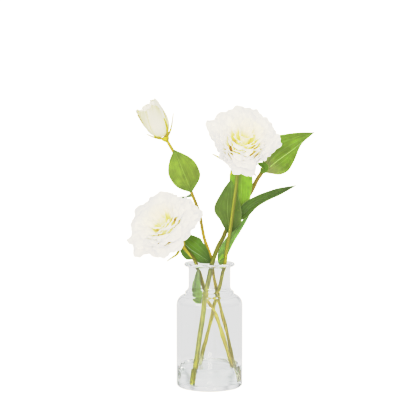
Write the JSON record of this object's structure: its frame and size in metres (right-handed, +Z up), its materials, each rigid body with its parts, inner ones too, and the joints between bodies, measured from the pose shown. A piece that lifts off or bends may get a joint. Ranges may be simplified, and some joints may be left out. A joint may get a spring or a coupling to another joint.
{
  "type": "cut flowers in vase",
  "caption": "Cut white lisianthus with open double blooms, a furled bud and a leafy shoot, standing in a clear glass bottle vase with a little water.",
  "frame": {"origin": "middle of the vase's underside, on the surface that it stands on", "axes": "+Z up, -Y towards the viewer of the picture, where the blooms face, +X to the right in the picture"},
  "size_m": [0.2139, 0.1295, 0.3338],
  "materials": {
    "glass": "clear",
    "water": "clear",
    "stem": "satin",
    "sepal": "satin",
    "leaf": "satin",
    "petal": "matte",
    "bud_petal": "matte"
  },
  "bodies": {
    "root": {"glass_vase": "glass", "water": "water", "stem_left_bloom": "stem", "stem_bud": "stem", "stem_leafy_shoot": "stem", "stem_right_bloom": "stem", "calyx_left_bloom": "sepal", "calyx_right_bloom": "sepal", "calyx_bud": "sepal", "left_bloom": "petal", "right_bloom": "petal", "bud": "bud_petal", "leaf_bud_stem_front": "leaf", "leaf_bud_stem_back": "leaf", "leaf_vase_mouth": "leaf", "leaf_in_neck": "leaf", "leaf_tall_front": "leaf", "leaf_tall_back": "leaf", "leaf_low_right": "leaf", "leaf_narrow_right": "leaf", "leaf_mouth_small": "leaf", "leaf_top_right": "leaf", "leaf_top_small": "leaf"}
  },
  "joints": []
}
